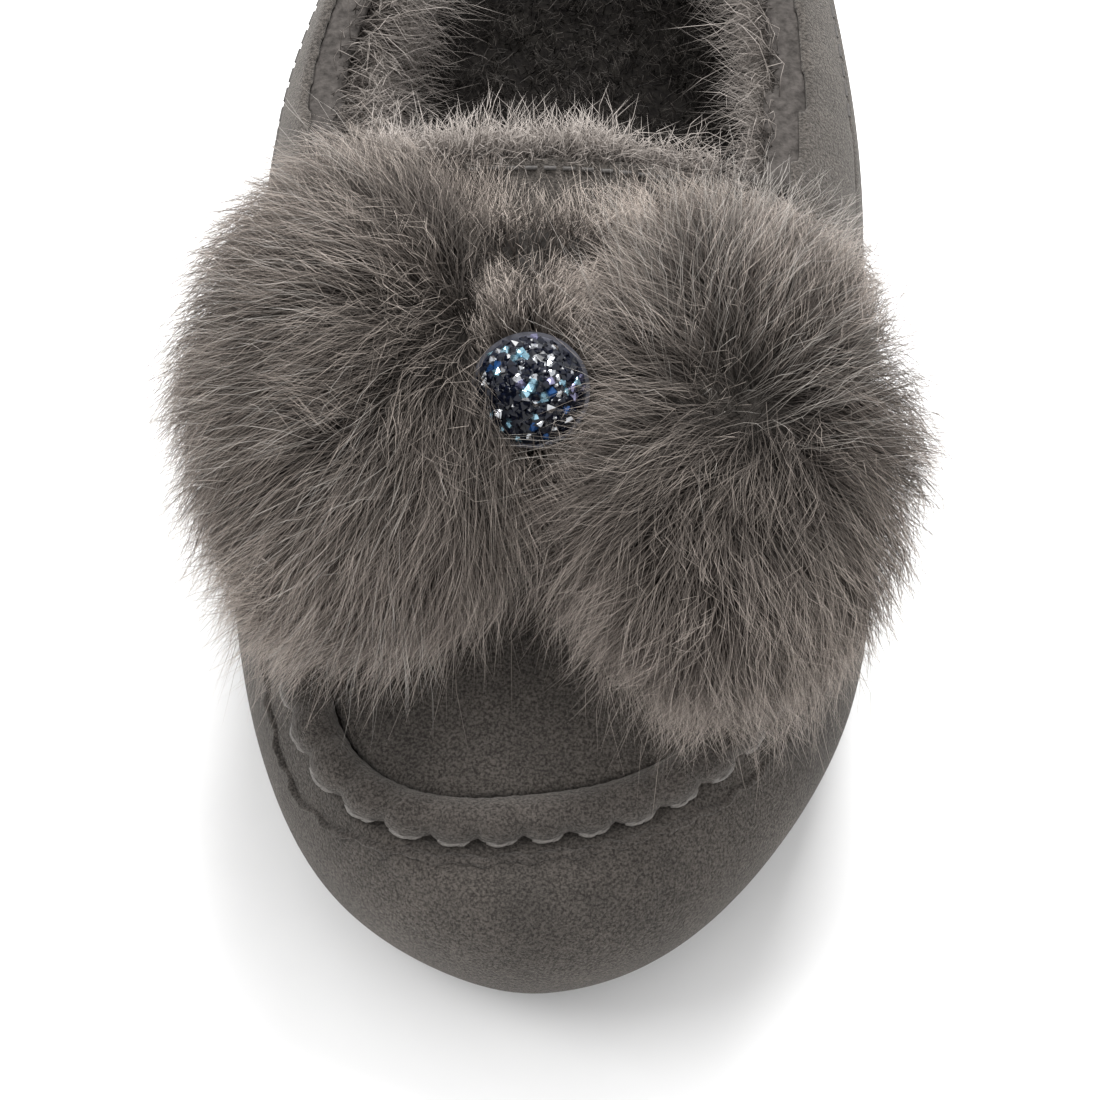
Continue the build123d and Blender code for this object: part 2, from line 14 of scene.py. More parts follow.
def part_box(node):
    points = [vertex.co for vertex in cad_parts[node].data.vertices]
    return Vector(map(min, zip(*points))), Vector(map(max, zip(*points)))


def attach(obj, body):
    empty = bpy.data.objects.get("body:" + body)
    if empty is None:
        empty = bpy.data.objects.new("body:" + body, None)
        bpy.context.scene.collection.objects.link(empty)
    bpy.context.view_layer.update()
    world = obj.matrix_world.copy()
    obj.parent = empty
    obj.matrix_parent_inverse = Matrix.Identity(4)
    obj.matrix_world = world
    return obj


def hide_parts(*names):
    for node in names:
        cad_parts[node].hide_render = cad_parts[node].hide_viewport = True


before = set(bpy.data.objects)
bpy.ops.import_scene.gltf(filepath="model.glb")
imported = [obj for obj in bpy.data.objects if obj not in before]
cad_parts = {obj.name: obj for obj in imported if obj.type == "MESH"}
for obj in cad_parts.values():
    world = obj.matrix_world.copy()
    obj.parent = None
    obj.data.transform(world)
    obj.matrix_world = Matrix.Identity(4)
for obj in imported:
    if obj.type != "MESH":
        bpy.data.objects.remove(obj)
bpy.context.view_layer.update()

MM = 0.001
HAIR_UV = "OFBake"  # the UV map that carries each strand's tone and the place along it
rng = np.random.default_rng(11)

# ---- Camera ---------------------------------------------------------------------------------------------
ELEVATION = math.radians(60.0)
DISTANCE = 700 * MM
AIM = Vector((0.0, -67.1, 41.7)) * MM
LENS = 143.2
SENSOR = 36.0

camera = bpy.data.objects.new("camera", bpy.data.cameras.new("camera"))
bpy.context.scene.collection.objects.link(camera)
forward = Vector((0.0, math.cos(ELEVATION), -math.sin(ELEVATION)))
camera.location = AIM - forward * DISTANCE
camera.rotation_euler = forward.to_track_quat("-Z", "Y").to_euler()
camera.data.lens = LENS
camera.data.sensor_width = SENSOR
camera.data.clip_start = 0.01
bpy.context.scene.camera = camera
bpy.context.scene.view_settings.view_transform = "Standard"


# ---- Material helpers -----------------------------------------------------------------------------------
def shade(name):
    """A new material: its node tree and its Principled shader."""
    material = bpy.data.materials.new(name)
    material.use_nodes = True
    return material, material.node_tree, material.node_tree.nodes["Principled BSDF"]


def noise(tree, scale, detail=2.0, roughness=0.6, stretch=None):
    """Noise over the object's own metres; gives the Fac socket."""
    coordinates = tree.nodes.new("ShaderNodeTexCoord")
    texture = tree.nodes.new("ShaderNodeTexNoise")
    texture.inputs["Scale"].default_value = scale
    texture.inputs["Detail"].default_value = detail
    texture.inputs["Roughness"].default_value = roughness
    source = coordinates.outputs["Object"]
    if stretch:
        mapping = tree.nodes.new("ShaderNodeMapping")
        mapping.inputs["Scale"].default_value = stretch
        tree.links.new(source, mapping.inputs["Vector"])
        source = mapping.outputs["Vector"]
    tree.links.new(source, texture.inputs["Vector"])
    return texture.outputs["Fac"]


def ramp(tree, source, stops):
    """A colour ramp over a socket; stops are position and colour."""
    node = tree.nodes.new("ShaderNodeValToRGB")
    while len(node.color_ramp.elements) < len(stops):
        node.color_ramp.elements.new(0.5)
    for element, (place, colour) in zip(node.color_ramp.elements, stops):
        element.position = place
        element.color = (*colour, 1.0)
    tree.links.new(source, node.inputs["Fac"])
    return node.outputs["Color"]


def mix(tree, kind, share, a, b):
    """Mixes two colours; share is a number or a socket."""
    node = tree.nodes.new("ShaderNodeMix")
    node.data_type = "RGBA"
    node.blend_type = kind
    if isinstance(share, float):
        node.inputs["Factor"].default_value = share
    else:
        tree.links.new(share, node.inputs["Factor"])
    for socket, value in ((node.inputs[6], a), (node.inputs[7], b)):
        if isinstance(value, tuple):
            socket.default_value = (*value, 1.0)
        else:
            tree.links.new(value, socket)
    return node.outputs[2]


def bump(tree, shader, source, height, previous=None):
    """Bump of a height in millimetres; chains after previous."""
    node = tree.nodes.new("ShaderNodeBump")
    node.inputs["Strength"].default_value = 1.0
    node.inputs["Distance"].default_value = height * MM
    tree.links.new(source, node.inputs["Height"])
    if previous:
        tree.links.new(previous, node.inputs["Normal"])
    tree.links.new(node.outputs["Normal"], shader.inputs["Normal"])
    return node.outputs["Normal"]


def suede(name, dark, light, nap=1.0):
    """Suede: fine flecks, mottled and brushed patches, and a sheen."""
    material, tree, shader = shade(name)
    fleck = noise(tree, 2300, 3, 0.7)
    mottle = noise(tree, 260, 4, 0.65)
    brushed = noise(tree, 34, 3, 0.55)
    base = ramp(tree, fleck, [(0.38, dark), (0.62, light)])
    soft = ramp(tree, mottle, [(0.3, (0.86, 0.86, 0.86)), (0.72, (1.10, 1.09, 1.08))])
    patch = ramp(tree, brushed, [(0.34, (0.82, 0.82, 0.82)), (0.66, (1.22, 1.21, 1.20))])
    colour = mix(tree, "MULTIPLY", 1.0, mix(tree, "MULTIPLY", 1.0, base, soft), patch)
    tree.links.new(colour, shader.inputs["Base Color"])
    shader.inputs["Roughness"].default_value = 0.95
    shader.inputs["Specular IOR Level"].default_value = 0.12
    shader.inputs["Sheen Weight"].default_value = 0.28
    shader.inputs["Sheen Roughness"].default_value = 0.5
    shader.inputs["Sheen Tint"].default_value = (0.75, 0.72, 0.68, 1.0)
    normal = bump(tree, shader, fleck, 0.5 * nap)
    bump(tree, shader, mottle, 0.25 * nap, normal)
    return material


def plain(name, dark, light, scale, roughness, height=0.1, metallic=0.0, specular=0.5):
    """A surface with a two-tone grain and a little bump."""
    material, tree, shader = shade(name)
    grain = noise(tree, scale, 4, 0.6)
    tree.links.new(ramp(tree, grain, [(0.3, dark), (0.7, light)]), shader.inputs["Base Color"])
    shader.inputs["Roughness"].default_value = roughness
    shader.inputs["Metallic"].default_value = metallic
    shader.inputs["Specular IOR Level"].default_value = specular
    bump(tree, shader, grain, height)
    return material


def hair_material(name, stops, tone_dark, tone_light, roughness=0.6):
    """Hair coloured along its length and from hair to hair, by the UV map that the strands carry."""
    material, tree, shader = shade(name)
    uv = tree.nodes.new("ShaderNodeUVMap")
    uv.uv_map = HAIR_UV
    split = tree.nodes.new("ShaderNodeSeparateXYZ")
    tree.links.new(uv.outputs["UV"], split.inputs["Vector"])
    along = ramp(tree, split.outputs["Y"], stops)
    tone = ramp(tree, split.outputs["X"], [(0.0, tone_dark), (1.0, tone_light)])
    tree.links.new(mix(tree, "MULTIPLY", 1.0, along, tone), shader.inputs["Base Color"])
    shader.inputs["Roughness"].default_value = roughness
    shader.inputs["Specular IOR Level"].default_value = 0.3
    return material


# ---- Mesh helpers ---------------------------------------------------------------------------------------
def make_piece(name, points, faces, material, smooth=True):
    """A mesh piece from points in millimetres."""
    mesh = bpy.data.meshes.new(name)
    mesh.from_pydata((np.asarray(points) * MM).tolist(), [], [tuple(face) for face in faces])
    mesh.update()
    if smooth:
        mesh.polygons.foreach_set("use_smooth", [True] * len(mesh.polygons))
    piece = bpy.data.objects.new(name, mesh)
    bpy.context.scene.collection.objects.link(piece)
    mesh.materials.append(material)
    return piece


def get_points(piece):
    """A piece's vertices in millimetres."""
    flat = np.zeros(len(piece.data.vertices) * 3)
    piece.data.vertices.foreach_get("co", flat)
    return flat.reshape(-1, 3) / MM


def set_points(piece, points):
    """Moves a piece's vertices, given in millimetres."""
    piece.data.vertices.foreach_set("co", (points * MM).ravel())
    piece.data.update()


def get_normals(piece):
    """A piece's vertex normals."""
    flat = np.zeros(len(piece.data.vertices) * 3)
    piece.data.vertices.foreach_get("normal", flat)
    return flat.reshape(-1, 3)


def apply_modifiers(piece):
    """Bakes a piece's modifiers into its mesh."""
    depsgraph = bpy.context.evaluated_depsgraph_get()
    mesh = bpy.data.meshes.new_from_object(piece.evaluated_get(depsgraph))
    piece.modifiers.clear()
    old = piece.data
    piece.data = mesh
    bpy.data.meshes.remove(old)


def node_copy(name, node):
    """A new piece with a CAD node's mesh."""
    piece = bpy.data.objects.new(name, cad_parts[node].data.copy())
    bpy.context.scene.collection.objects.link(piece)
    return piece


def soft_copy(name, node, voxel, rounds, material):
    """A softened copy of a CAD node, its cut edges rounded, standing for the node."""
    piece = node_copy(name, node)
    remesh = piece.modifiers.new("remesh", "REMESH")
    remesh.mode = "VOXEL"
    remesh.voxel_size = voxel * MM
    relax = piece.modifiers.new("relax", "SMOOTH")
    relax.factor = 0.5
    relax.iterations = rounds
    apply_modifiers(piece)
    piece.data.materials.clear()
    piece.data.materials.append(material)
    piece.data.polygons.foreach_set("use_smooth", [True] * len(piece.data.polygons))
    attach(piece, "root")
    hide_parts(node)
    return piece


def tree_of(*nodes):
    """One ray-casting tree over several CAD nodes."""
    points, faces = [], []
    for node in nodes:
        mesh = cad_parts[node].data
        start = len(points)
        points.extend(vertex.co.copy() for vertex in mesh.vertices)
        faces.extend([start + i for i in polygon.vertices] for polygon in mesh.polygons)
    return BVHTree.FromPolygons(points, faces)


def box_mm(node):
    """A node's lowest and highest corners, in millimetres."""
    low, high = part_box(node)
    return np.array(low) / MM, np.array(high) / MM


# ---- Hair -----------------------------------------------------------------------------------------------
STRAND_SIDES = 3
STRAND_POINTS = 5
TIP_TAPER = 0.75  # the share of its thickness that a strand loses by its last ring
UV_MARGIN = 0.02  # keeps a strand's tone and place off the edges of the UV square


def unit(vectors):
    """Vectors scaled to length one."""
    size = np.linalg.norm(vectors, axis=-1, keepdims=True)
    return vectors / np.maximum(size, 1e-9)


def hair_mesh(name, curves, thickness, tones, material):
    """Tapering tubes along curves of shape (hairs, points, 3), closed at the root and the tip."""
    count, rings = curves.shape[0], curves.shape[1] - 1
    along = unit(np.diff(curves, axis=1))
    along = np.concatenate([along, along[:, -1:]], axis=1)
    side = unit(np.cross(along, unit(rng.normal(size=(count, 1, 3)))))
    other = np.cross(along, side)
    shares = np.linspace(0.0, 1.0, rings + 1)
    radius = thickness[:, None] * (1.0 - TIP_TAPER * shares[:rings] ** 1.5)
    corners = []
    for k in range(STRAND_SIDES):
        angle = 2 * math.pi * k / STRAND_SIDES
        swing = math.cos(angle) * side[:, :rings] + math.sin(angle) * other[:, :rings]
        corners.append(curves[:, :rings] + radius[..., None] * swing)
    body = np.stack(corners, axis=2).reshape(count, rings * STRAND_SIDES, 3)
    points = np.concatenate([body, curves[:, -1:]], axis=1)
    tip = rings * STRAND_SIDES
    per_hair = tip + 1
    quads, tips = [], []
    for ring in range(rings):
        for k in range(STRAND_SIDES):
            a = ring * STRAND_SIDES + k
            b = ring * STRAND_SIDES + (k + 1) % STRAND_SIDES
            if ring < rings - 1:
                quads.append((a, b, b + STRAND_SIDES, a + STRAND_SIDES))
            else:
                tips.append((a, b, tip))
    tips.append((2, 1, 0))
    start = (np.arange(count) * per_hair)[:, None]
    quad_loops = (start[:, :, None] + np.array(quads)[None]).reshape(count, -1)
    tip_loops = (start[:, :, None] + np.array(tips)[None]).reshape(count, -1)
    loops = np.concatenate([quad_loops, tip_loops], axis=1)
    sizes = np.tile([4] * len(quads) + [3] * len(tips), count)
    mesh = bpy.data.meshes.new(name)
    mesh.vertices.add(count * per_hair)
    mesh.vertices.foreach_set("co", (points * MM).ravel())
    mesh.loops.add(loops.size)
    mesh.loops.foreach_set("vertex_index", loops.ravel().astype(np.int32))
    mesh.polygons.add(len(sizes))
    loop_starts = np.concatenate([[0], np.cumsum(sizes)[:-1]])
    mesh.polygons.foreach_set("loop_start", loop_starts.astype(np.int32))
    mesh.polygons.foreach_set("use_smooth", [True] * len(sizes))
    mesh.update(calc_edges=True)
    share_of_point = np.append(np.repeat(shares[:rings], STRAND_SIDES), 1.0)
    v = share_of_point[(loops - start) % per_hair]
    u = np.repeat(tones[:, None], loops.shape[1], axis=1)
    layer = mesh.uv_layers.new(name=HAIR_UV)
    uv = np.stack([u, v], axis=-1) * (1 - 2 * UV_MARGIN) + UV_MARGIN
    layer.data.foreach_set("uv", uv.ravel())
    mesh.materials.append(material)
    piece = bpy.data.objects.new(name, mesh)
    bpy.context.scene.collection.objects.link(piece)
    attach(piece, "root")
    return piece


def grow(roots, ways, bends, lengths, clump, clump_size, curl, stray):
    """Curved hairs: each leaves its root along its way and bends by its bend; neighbours gather in tufts."""
    count = len(roots)
    shares = np.linspace(0.0, 1.0, STRAND_POINTS)
    jitter = rng.normal(size=(count, 3))
    leave = unit(ways + stray * jitter)
    line = leave[:, None] * shares[None, :, None] + bends[:, None] * (shares**2)[None, :, None]
    line *= lengths[:, None, None]
    phase = rng.uniform(0, 2 * math.pi, count)
    turns = rng.uniform(0.6, 1.4, count)
    one = unit(np.cross(leave, rng.normal(size=(count, 3))))
    two = np.cross(leave, one)
    angle = phase[:, None] + 2 * math.pi * turns[:, None] * shares
    swing = np.cos(angle)[..., None] * one[:, None] + np.sin(angle)[..., None] * two[:, None]
    swing -= swing[:, :1]
    line += curl * swing * shares[None, :, None] ** 0.5
    leaders = rng.choice(count, max(1, count // clump_size), replace=False)
    tree = kdtree.KDTree(len(leaders))
    for i, leader in enumerate(leaders):
        tree.insert(roots[leader], i)
    tree.balance()
    mine = np.array([leaders[tree.find(root)[1]] for root in roots])
    pull = clump * rng.uniform(0.5, 1.0, count)[:, None, None] * (shares**1.3)[None, :, None]
    own = roots[:, None] + line
    led = roots[mine][:, None] + line[mine] * (lengths / lengths[mine])[:, None, None]
    return own * (1 - pull) + led * pull


def tones_about(middle, spread, count):
    """A tone for each hair, from 0 for dark to 1 for pale."""
    return np.clip(rng.normal(middle, spread, count), 0, 1)


# ---- Materials ------------------------------------------------------------------------------------------
suede_main = suede("suede_main", (0.022, 0.019, 0.017), (0.100, 0.089, 0.080))
suede_roll = suede("suede_roll", (0.021, 0.018, 0.016), (0.096, 0.085, 0.077))
pelt = plain("pelt", (0.016, 0.014, 0.012), (0.045, 0.040, 0.036), 900, 0.95, 0.3, specular=0.1)
lining_base = plain("lining_base", (0.030, 0.027, 0.025), (0.080, 0.072, 0.067), 700, 0.95, 0.5,
                    specular=0.1)
# Painted shade: the footbed's base is near black, far darker than the lining's, for the shade deep inside the
# slipper.
footbed_base_painted_shade = plain("footbed_base_painted_shade", (0.006, 0.005, 0.005), (0.020, 0.018, 0.016), 700, 0.95, 0.5,
                     specular=0.1)
rubber = plain("sole_rubber", (0.018, 0.017, 0.016), (0.034, 0.032, 0.030), 400, 0.75, 0.08,
               specular=0.3)
thread = plain("thread", (0.09, 0.082, 0.075), (0.20, 0.185, 0.17), 3000, 0.35, 0.05)
dark_thread = plain("dark_thread", (0.035, 0.032, 0.030), (0.085, 0.078, 0.073), 3000, 0.7, 0.08)
board = plain("fibre_board", (0.30, 0.22, 0.14), (0.48, 0.38, 0.27), 500, 0.9, 0.1)
foam = plain("foam", (0.60, 0.57, 0.50), (0.80, 0.78, 0.72), 900, 0.95, 0.2)
felt = plain("felt", (0.020, 0.018, 0.016), (0.050, 0.045, 0.041), 800, 0.95, 0.2)
knit = plain("knit_cloth", (0.022, 0.019, 0.017), (0.055, 0.049, 0.044), 1000, 0.9, 0.2)
stiffener = plain("counter_sheet", (0.50, 0.48, 0.42), (0.62, 0.60, 0.54), 300, 0.6, 0.05)
cup_metal = plain("brooch_metal", (0.06, 0.06, 0.07), (0.14, 0.14, 0.16), 600, 0.3, 0.02,
                  metallic=1.0)
resin = plain("brooch_resin", (0.004, 0.005, 0.009), (0.012, 0.015, 0.026), 900, 0.35, 0.05)

# Fur darkens towards its root and pales towards its tip. The pale tips are partly the hair's own colour and
# partly a painted glow of light shining through backlit tips.
FUR_STOPS = [
    (0.0, (0.020, 0.017, 0.015)),
    (0.35, (0.055, 0.046, 0.040)),
    (0.66, (0.120, 0.102, 0.090)),
    (1.0, (0.700, 0.620, 0.560)),
]
GUARD_STOPS = [(0.0, (0.07, 0.06, 0.054)), (0.5, (0.22, 0.20, 0.18)), (1.0, (0.62, 0.58, 0.54))]
PILE_STOPS = [(0.0, (0.065, 0.057, 0.052)), (0.5, (0.20, 0.178, 0.162)), (1.0, (0.47, 0.43, 0.40))]
fur_hair = hair_material("fur_hair", FUR_STOPS, (0.52, 0.50, 0.48), (1.50, 1.49, 1.47))
guard_hair = hair_material("guard_hair", GUARD_STOPS, (0.7, 0.7, 0.7), (1.2, 1.2, 1.2), 0.45)
pile_hair = hair_material("pile_hair", PILE_STOPS, (0.65, 0.64, 0.63), (1.3, 1.29, 1.28))
# Painted shade: a darkened copy of the pile hair, for the footbed's pile deep in the slipper.
pile_hair_painted_shade = hair_material("pile_hair_painted_shade", PILE_STOPS, (0.07, 0.065, 0.06), (0.30, 0.29, 0.28))

for node, material in (
    ("outsole", rubber), ("insole_board", board), ("heel_counter", stiffener), ("bow_backing", felt),
    ("throat_stitches", dark_thread), ("bow_stitches", dark_thread), ("brooch_putty", resin),
    ("brooch_cup", cup_metal), ("brooch_post", cup_metal), ("brooch_washer", cup_metal),
):
    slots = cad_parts[node].data.materials
    slots.clear()
    slots.append(material)

# ---- Suede upper ----------------------------------------------------------------------------------------
for node, voxel, rounds in (
    ("toe_wrap", 0.9, 6), ("apron", 0.9, 6), ("quarter_medial", 0.9, 6), ("quarter_lateral", 0.9, 6),
    ("collar_band", 0.8, 6), ("heel_strip", 0.6, 5),
):
    soft_copy(f"{node}_suede", node, voxel, rounds, suede_main)

# The collar's thread is drawn in to the suede, so that it lies in its groove.
THREAD_DRAW = 0.6  # the share of its distance from the suede that it keeps
THREAD_SINK = 0.2
collar_thread = node_copy("collar_thread", "collar_stitches")
collar_thread.data.materials.clear()
collar_thread.data.materials.append(dark_thread)
wall = tree_of("collar_band", "quarter_medial", "quarter_lateral")
thread_points = get_points(collar_thread)
for i, point in enumerate(thread_points):
    spot, normal, _, _ = wall.find_nearest(Vector(point) * MM)
    spot = np.array(spot) / MM
    thread_points[i] = spot + (point - spot) * THREAD_DRAW - np.array(normal) * THREAD_SINK
set_points(collar_thread, thread_points)
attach(collar_thread, "root")
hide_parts("collar_stitches")

# ---- Apron seam -----------------------------------------------------------------------------------------
PITCH = 7.0  # from one hand stitch to the next
WRINKLE = 2.33  # from one fine wrinkle to the next
ROLL_REACH = 3.4  # the roll's half width
ROLL_RISE = 3.2  # its half height
ROLL_SINK = 2.3  # its middle's depth under the roll's top in the CAD frame
SCALLOP = 1.9  # how far the roll swells out between stitches
SWELL = 0.9  # how far it swells up there
LIP_OUT = 5.9  # from the roll's middle to the toe wrap's cut edge
THREAD_SPAN = 0.78  # the part of its pitch that a stitch's thread shows along
THREAD_RADIUS = 0.34
THREAD_LAY = 0.22  # how far its two strands twist from its middle
THREAD_DEEP = 3.2  # the thread's depth under the roll's top
SEAM_START, SEAM_END = math.radians(121.5), math.radians(418.5)  # as seen from the apron's middle
SEAM_RAYS = 240
SEAM_STEP = 0.7  # from one place along the seam to the next
RAY_FROM = 0.2  # metres, above all of the slipper
top_tree = tree_of("toe_wrap", "apron", "apron_roll")
bed_tree = tree_of("toe_wrap", "apron")
roll_low, roll_high = box_mm("apron_roll")


def surface_height(tree, x, y):
    """Height of the first surface met from above, or None."""
    hit = tree.ray_cast(Vector((x * MM, y * MM, RAY_FROM)), Vector((0, 0, -1)))
    return hit[0].z / MM if hit[0] else None


def seam_line():
    """The roll's centre line in plan, found by rays out from the apron's middle."""
    middle = np.array([(roll_low[0] + roll_high[0]) / 2, roll_low[1] + 50.0])
    roll_tree = tree_of("apron_roll")
    line = []
    for angle in np.linspace(SEAM_START, SEAM_END, SEAM_RAYS):
        way = np.array([math.cos(angle), math.sin(angle)])
        inside = [r for r in np.arange(30.0, 75.0, 0.25)
                  if surface_height(roll_tree, *(middle + way * r)) is not None]
        if inside:
            line.append(middle + way * (inside[0] + inside[-1]) / 2)
    return np.array(line)


def resample(line, step):
    """Points evenly spaced along a line."""
    gaps = np.linalg.norm(np.diff(line, axis=0), axis=1)
    distance = np.concatenate([[0.0], np.cumsum(gaps)])
    places = np.linspace(0.0, distance[-1], int(distance[-1] / step) + 1)
    return np.column_stack([np.interp(places, distance, column) for column in line.T]), places


def smooth_rows(rows, rounds):
    """A running average along a line, its ends kept."""
    rows = rows.copy()
    for _ in range(rounds):
        rows[1:-1] = (rows[:-2] + 2 * rows[1:-1] + rows[2:]) / 4
    return rows


centre, places = resample(seam_line(), SEAM_STEP)
centre = smooth_rows(centre, 12)
turn = unit(np.gradient(centre, axis=0))
outward = np.column_stack([turn[:, 1], -turn[:, 0]])


def ground_along(tree, plan):
    """The suede's height under a row of plan points, gaps filled from their neighbours, smoothed."""
    found = np.array([surface_height(tree, x, y) or np.nan for x, y in plan])
    good = ~np.isnan(found)
    return smooth_rows(np.interp(np.arange(len(found)), np.flatnonzero(good), found[good]), 8)


bulge = np.abs(np.sin(math.pi * places / PITCH))  # 0 where a stitch pulls the roll in, 1 between stitches
crown = bulge**0.5 - 0.6  # the same with fuller swells, about zero on average
wobble = 0.075 * np.sin(places * 0.9 + 1.3) + 0.06 * np.sin(places * 2.3)
seat = ground_along(top_tree, centre)


def seam_tube(name, rim, offset, reach, ground, rise, wrinkle, material):
    """A soft tube along the seam; reach gives its half width and rise its half height at each place."""
    rows = []
    for k in range(rim):
        angle = 2 * math.pi * k / rim
        across, up = math.cos(angle), math.sin(angle)
        plan = centre + outward * (offset + across * reach(across))[:, None]
        ripple = wrinkle * np.sin(places * 2 * math.pi / WRINKLE + 2.1 * across) * (0.4 + 0.6 * bulge)
        rows.append(np.column_stack([plan, ground + up * (rise + ripple)]))
    rows = np.stack(rows, axis=1)
    count = len(places)
    faces = [(i * rim + k, i * rim + (k + 1) % rim, (i + 1) * rim + (k + 1) % rim, (i + 1) * rim + k)
             for i in range(count - 1) for k in range(rim)]
    faces += [tuple(range(rim)), tuple((count - 1) * rim + k for k in reversed(range(rim)))]
    return make_piece(name, rows.reshape(-1, 3), faces, material)


level = np.zeros(len(places))  # adds nothing, at each place along the seam
roll = seam_tube("apron_roll_suede", 22, level,
                 lambda across: ROLL_REACH + SCALLOP * crown * max(across, 0.0) + wobble,
                 seat - ROLL_SINK, ROLL_RISE + SWELL * crown, 0.15, suede_roll)
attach(roll, "root")
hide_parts("apron_roll")

# The toe wrap's own cut edge stands just outside the roll as a thin wavy lip.
lip_offset = LIP_OUT + 0.3 * np.sin(places * 2 * math.pi / PITCH + 0.6) + 0.2 * np.sin(places * 1.9)
lip_ground = ground_along(bed_tree, centre + outward * lip_offset[:, None])
lip = seam_tube("toe_wrap_lip", 10, lip_offset, lambda across: 0.9 + level, lip_ground - 0.1,
                0.55 + 0.15 * np.sin(places * 1.3), 0.06, suede_roll)
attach(lip, "root")


def tubes(name, paths, radius, sides, material):
    """Round threads along several paths of points in millimetres, joined as one piece."""
    points, faces = [], []
    for path in paths:
        path = np.asarray(path, dtype=float)
        along = unit(np.gradient(path, axis=0))
        side = unit(np.cross(along, [0.31, 0.27, 0.91]))
        other = np.cross(along, side)
        start = len(points)
        for i in range(len(path)):
            slim = radius * (0.55 if i in (0, len(path) - 1) else 1.0)
            for k in range(sides):
                angle = 2 * math.pi * k / sides
                points.append(path[i] + slim * (math.cos(angle) * side[i] + math.sin(angle) * other[i]))
        last = start + (len(path) - 1) * sides
        for i in range(len(path) - 1):
            for k in range(sides):
                a = start + i * sides
                faces.append((a + k, a + (k + 1) % sides, a + sides + (k + 1) % sides, a + sides + k))
        faces.append(tuple(start + k for k in reversed(range(sides))))
        faces.append(tuple(last + k for k in range(sides)))
    piece = make_piece(name, points, faces, material)
    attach(piece, "root")
    return piece


stitch_paths = []
roll_edge = ROLL_REACH + SCALLOP * crown + wobble
for at in np.arange(PITCH / 2, places[-1] - PITCH / 2, PITCH):
    for strand in (0.0, math.pi):
        path = []
        for share in np.linspace(0.0, 1.0, 11):
            i = int(np.argmin(np.abs(places - at - (share - 0.5) * THREAD_SPAN * PITCH)))
            twist = strand + share * 7.0
            reach = roll_edge[i] - 0.15 - 1.5 * (2 * share - 1) ** 6 + THREAD_LAY * math.cos(twist)
            height = seat[i] - THREAD_DEEP + THREAD_LAY * math.sin(twist)
            path.append((*(centre[i] + outward[i] * reach), height))
        stitch_paths.append(path)
hand_stitches = tubes("hand_stitches", stitch_paths, THREAD_RADIUS, 6, thread)
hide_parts("apron_stitches")


# ---- Lining ---------------------------------------------------------------------------------------------
collar_pile = soft_copy("collar_lining_pile", "collar_lining", 1.3, 4, lining_base)
vamp_pile = soft_copy("vamp_lining_pile", "vamp_lining", 1.3, 4, lining_base)
footbed = soft_copy("footbed_pile_base", "footbed_pile", 1.2, 3, footbed_base_painted_shade)
cushion = soft_copy("cushion_foam_pad", "cushion_foam", 1.2, 3, foam)


def scatter(piece, count):
    """Points spread evenly over a piece's surface, with the surface normals there."""
    mesh = piece.data
    mesh.calc_loop_triangles()
    triangles = np.zeros(len(mesh.loop_triangles) * 3, dtype=np.int32)
    mesh.loop_triangles.foreach_get("vertices", triangles)
    corners = get_points(piece)[triangles.reshape(-1, 3)]
    normals = get_normals(piece)[triangles.reshape(-1, 3)]
    crosses = np.cross(corners[:, 1] - corners[:, 0], corners[:, 2] - corners[:, 0])
    area = np.linalg.norm(crosses, axis=1)
    chosen = rng.choice(len(area), count, p=area / area.sum())
    a, b = rng.random((2, count))
    flip = a + b > 1
    a[flip], b[flip] = 1 - a[flip], 1 - b[flip]
    weights = np.stack([1 - a - b, a, b], axis=1)
    return ((corners[chosen] * weights[..., None]).sum(axis=1),
            unit((normals[chosen] * weights[..., None]).sum(axis=1)))


PILE_RADIUS = 0.095
LOWEST_PILE = 12.0  # no pile reaches below this
PILE_BEHIND = 0.4  # how far pile may reach behind its root
MOUTH_MIDDLE = (4.0, 40.0)
BAND_CLEARANCE = 2.8  # from the collar band to the nearest root
COLLAR_SHARE = 8900  # hairs in each of the collar's two pieces
FOOTBED_HAIRS = 8800
VAMP_HAIRS = 3500


def curly_pile(name, roots, normals, length, fall, pale, material=pile_hair, inward=None):
    """Short curly pile standing off a lining, falling by its fall; with inward it stays off the wall."""
    down = np.array([0.0, 0.0, -fall])
    lengths = length * rng.uniform(0.7, 1.25, len(roots))
    bends = np.tile(down, (len(roots), 1)) + 0.35 * rng.normal(size=roots.shape)
    curves = grow(roots, normals, bends, lengths, clump=0.6, clump_size=16, curl=1.9, stray=0.5)
    kept = curves[..., 2].min(axis=1) > LOWEST_PILE
    if inward is not None:
        kept &= ((curves - curves[:, :1]) * inward[:, None]).sum(axis=2).min(axis=1) > -PILE_BEHIND
    curves = curves[kept]
    tones = tones_about(0.5 + pale, 0.22, len(curves))
    hair_mesh(name, curves, np.full(len(curves), PILE_RADIUS), tones, material)


# Pile grows from the collar lining's inner wall and its top edge; toward is level, into the opening.
spots, facing = scatter(collar_pile, 52000)
to_middle_x = MOUTH_MIDDLE[0] - spots[:, 0]
to_middle_y = np.clip(MOUTH_MIDDLE[1] - spots[:, 1], -30, 30)
toward = unit(np.column_stack([to_middle_x, to_middle_y, np.zeros(len(spots))]))
inner = (facing * toward).sum(axis=1) > 0.15
top = facing[:, 2] > 0.55
band_tree = tree_of("collar_band")
clear = np.array([band_tree.find_nearest(Vector(spot) * MM)[3] > BAND_CLEARANCE * MM for spot in spots])
keep = (inner | top) & clear & (spots[:, 2] > 14.0)
facing = np.where(top[:, None], unit(0.45 * facing + toward), facing)
spots, facing, toward = spots[keep], facing[keep], toward[keep]
for part, length in enumerate((12.0, 9.0)):
    share = slice(part * COLLAR_SHARE, (part + 1) * COLLAR_SHARE)
    curly_pile(f"collar_pile_hair_{part + 1}", spots[share], facing[share], length, 0.12, 0.15,
               inward=toward[share])
